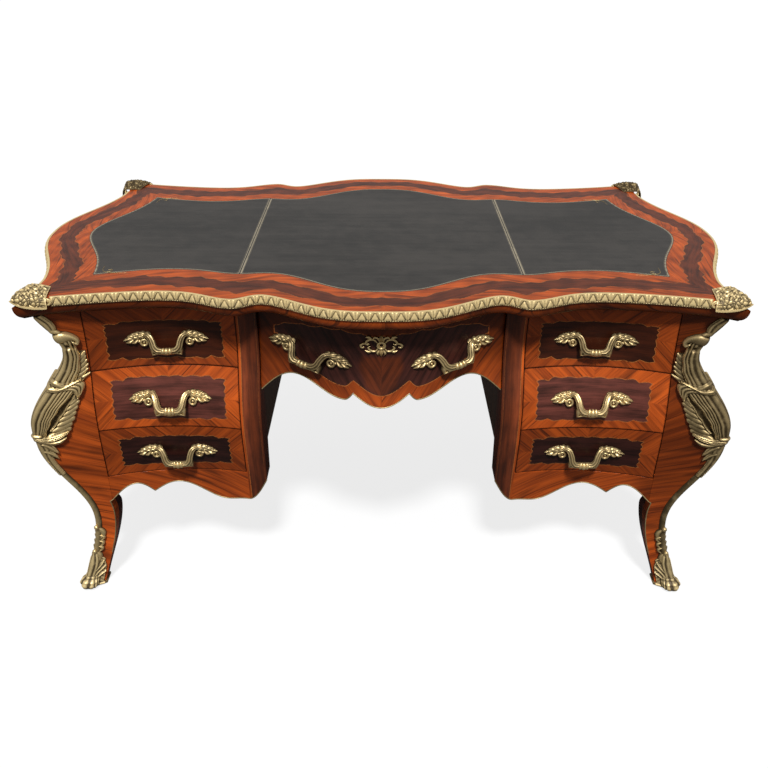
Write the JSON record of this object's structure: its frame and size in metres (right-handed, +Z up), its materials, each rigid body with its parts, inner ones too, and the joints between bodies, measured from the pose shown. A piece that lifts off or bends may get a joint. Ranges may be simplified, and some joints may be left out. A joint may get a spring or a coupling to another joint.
{
  "type": "bombe desk",
  "caption": "Free-standing serpentine pedestal desk with a leather-lined top, bombe drawer pedestals, a kneehole drawer, cabriole legs and cast brass mounts",
  "frame": {"origin": "on the floor, under the middle of the top", "axes": "+X to the right of someone facing the drawers, -Y towards that person, +Z up"},
  "size_m": [1.686, 1.064, 0.806],
  "materials": {
    "tulipwood": "polished orange-brown crossbanded veneer",
    "kingwood": "polished dark purple-brown veneer with pale stringing",
    "oak": "plain waxed lining wood",
    "leather": "near-black leather with gilt tooling",
    "brass": "cast and chased, worn gilding",
    "steel": "dull lock steel"
  },
  "bodies": {
    "carcass": {"top_board": "tulipwood", "leather_left": "leather", "leather_center": "leather", "leather_right": "leather", "edge_moulding_front": "brass", "edge_moulding_back": "brass", "edge_moulding_left": "brass", "edge_moulding_right": "brass", "corner_mount_front_left": "brass", "corner_mount_front_right": "brass", "corner_mount_back_left": "brass", "corner_mount_back_right": "brass", "corner_post_front_left": "tulipwood", "corner_post_front_right": "tulipwood", "corner_post_back_left": "tulipwood", "corner_post_back_right": "tulipwood", "chute_front_left": "brass", "chute_front_right": "brass", "chute_back_left": "brass", "chute_back_right": "brass", "sabot_front_left": "brass", "sabot_front_right": "brass", "sabot_back_left": "brass", "sabot_back_right": "brass", "front_frame_left": "kingwood", "front_frame_right": "kingwood", "back_panel_left": "tulipwood", "back_panel_right": "tulipwood", "outer_side_left": "tulipwood", "outer_side_right": "tulipwood", "inner_side_left": "kingwood", "inner_side_right": "kingwood", "bottom_board_left": "oak", "bottom_board_right": "oak", "back_frieze": "kingwood"},
    "drawer_left_top": {"drawer_front_left_top": "tulipwood", "drawer_box_left_top": "oak", "handle_left_top": "brass"},
    "drawer_left_middle": {"drawer_front_left_middle": "tulipwood", "drawer_box_left_middle": "oak", "handle_left_middle": "brass"},
    "drawer_left_bottom": {"drawer_front_left_bottom": "tulipwood", "drawer_box_left_bottom": "oak", "handle_left_bottom": "brass"},
    "drawer_right_top": {"drawer_front_right_top": "tulipwood", "drawer_box_right_top": "oak", "handle_right_top": "brass"},
    "drawer_right_middle": {"drawer_front_right_middle": "tulipwood", "drawer_box_right_middle": "oak", "handle_right_middle": "brass"},
    "drawer_right_bottom": {"drawer_front_right_bottom": "tulipwood", "drawer_box_right_bottom": "oak", "handle_right_bottom": "brass"},
    "center_drawer": {"center_drawer_front": "kingwood", "center_drawer_box": "oak", "center_handle_left": "brass", "center_handle_right": "brass", "escutcheon": "brass", "lock_case": "steel"},
    "lock_bolt": {"lock_bolt": "steel"}
  },
  "joints": [
    {"name": "drawer_left_top_slide", "type": "slide", "parent": "carcass", "child": "drawer_left_top", "axis": [0, -1, 0], "range_m": [0, 0.36]},
    {"name": "drawer_left_middle_slide", "type": "slide", "parent": "carcass", "child": "drawer_left_middle", "axis": [0, -1, 0], "range_m": [0, 0.36]},
    {"name": "drawer_left_bottom_slide", "type": "slide", "parent": "carcass", "child": "drawer_left_bottom", "axis": [0, -1, 0], "range_m": [0, 0.36]},
    {"name": "drawer_right_top_slide", "type": "slide", "parent": "carcass", "child": "drawer_right_top", "axis": [0, -1, 0], "range_m": [0, 0.36]},
    {"name": "drawer_right_middle_slide", "type": "slide", "parent": "carcass", "child": "drawer_right_middle", "axis": [0, -1, 0], "range_m": [0, 0.36]},
    {"name": "drawer_right_bottom_slide", "type": "slide", "parent": "carcass", "child": "drawer_right_bottom", "axis": [0, -1, 0], "range_m": [0, 0.36]},
    {"name": "center_drawer_slide", "type": "slide", "parent": "carcass", "child": "center_drawer", "axis": [0, -1, 0], "range_m": [0, 0.36]},
    {"name": "lock_bolt_throw", "type": "slide", "parent": "center_drawer", "child": "lock_bolt", "axis": [0, 0, 1], "range_m": [0, 0.008]}
  ]
}
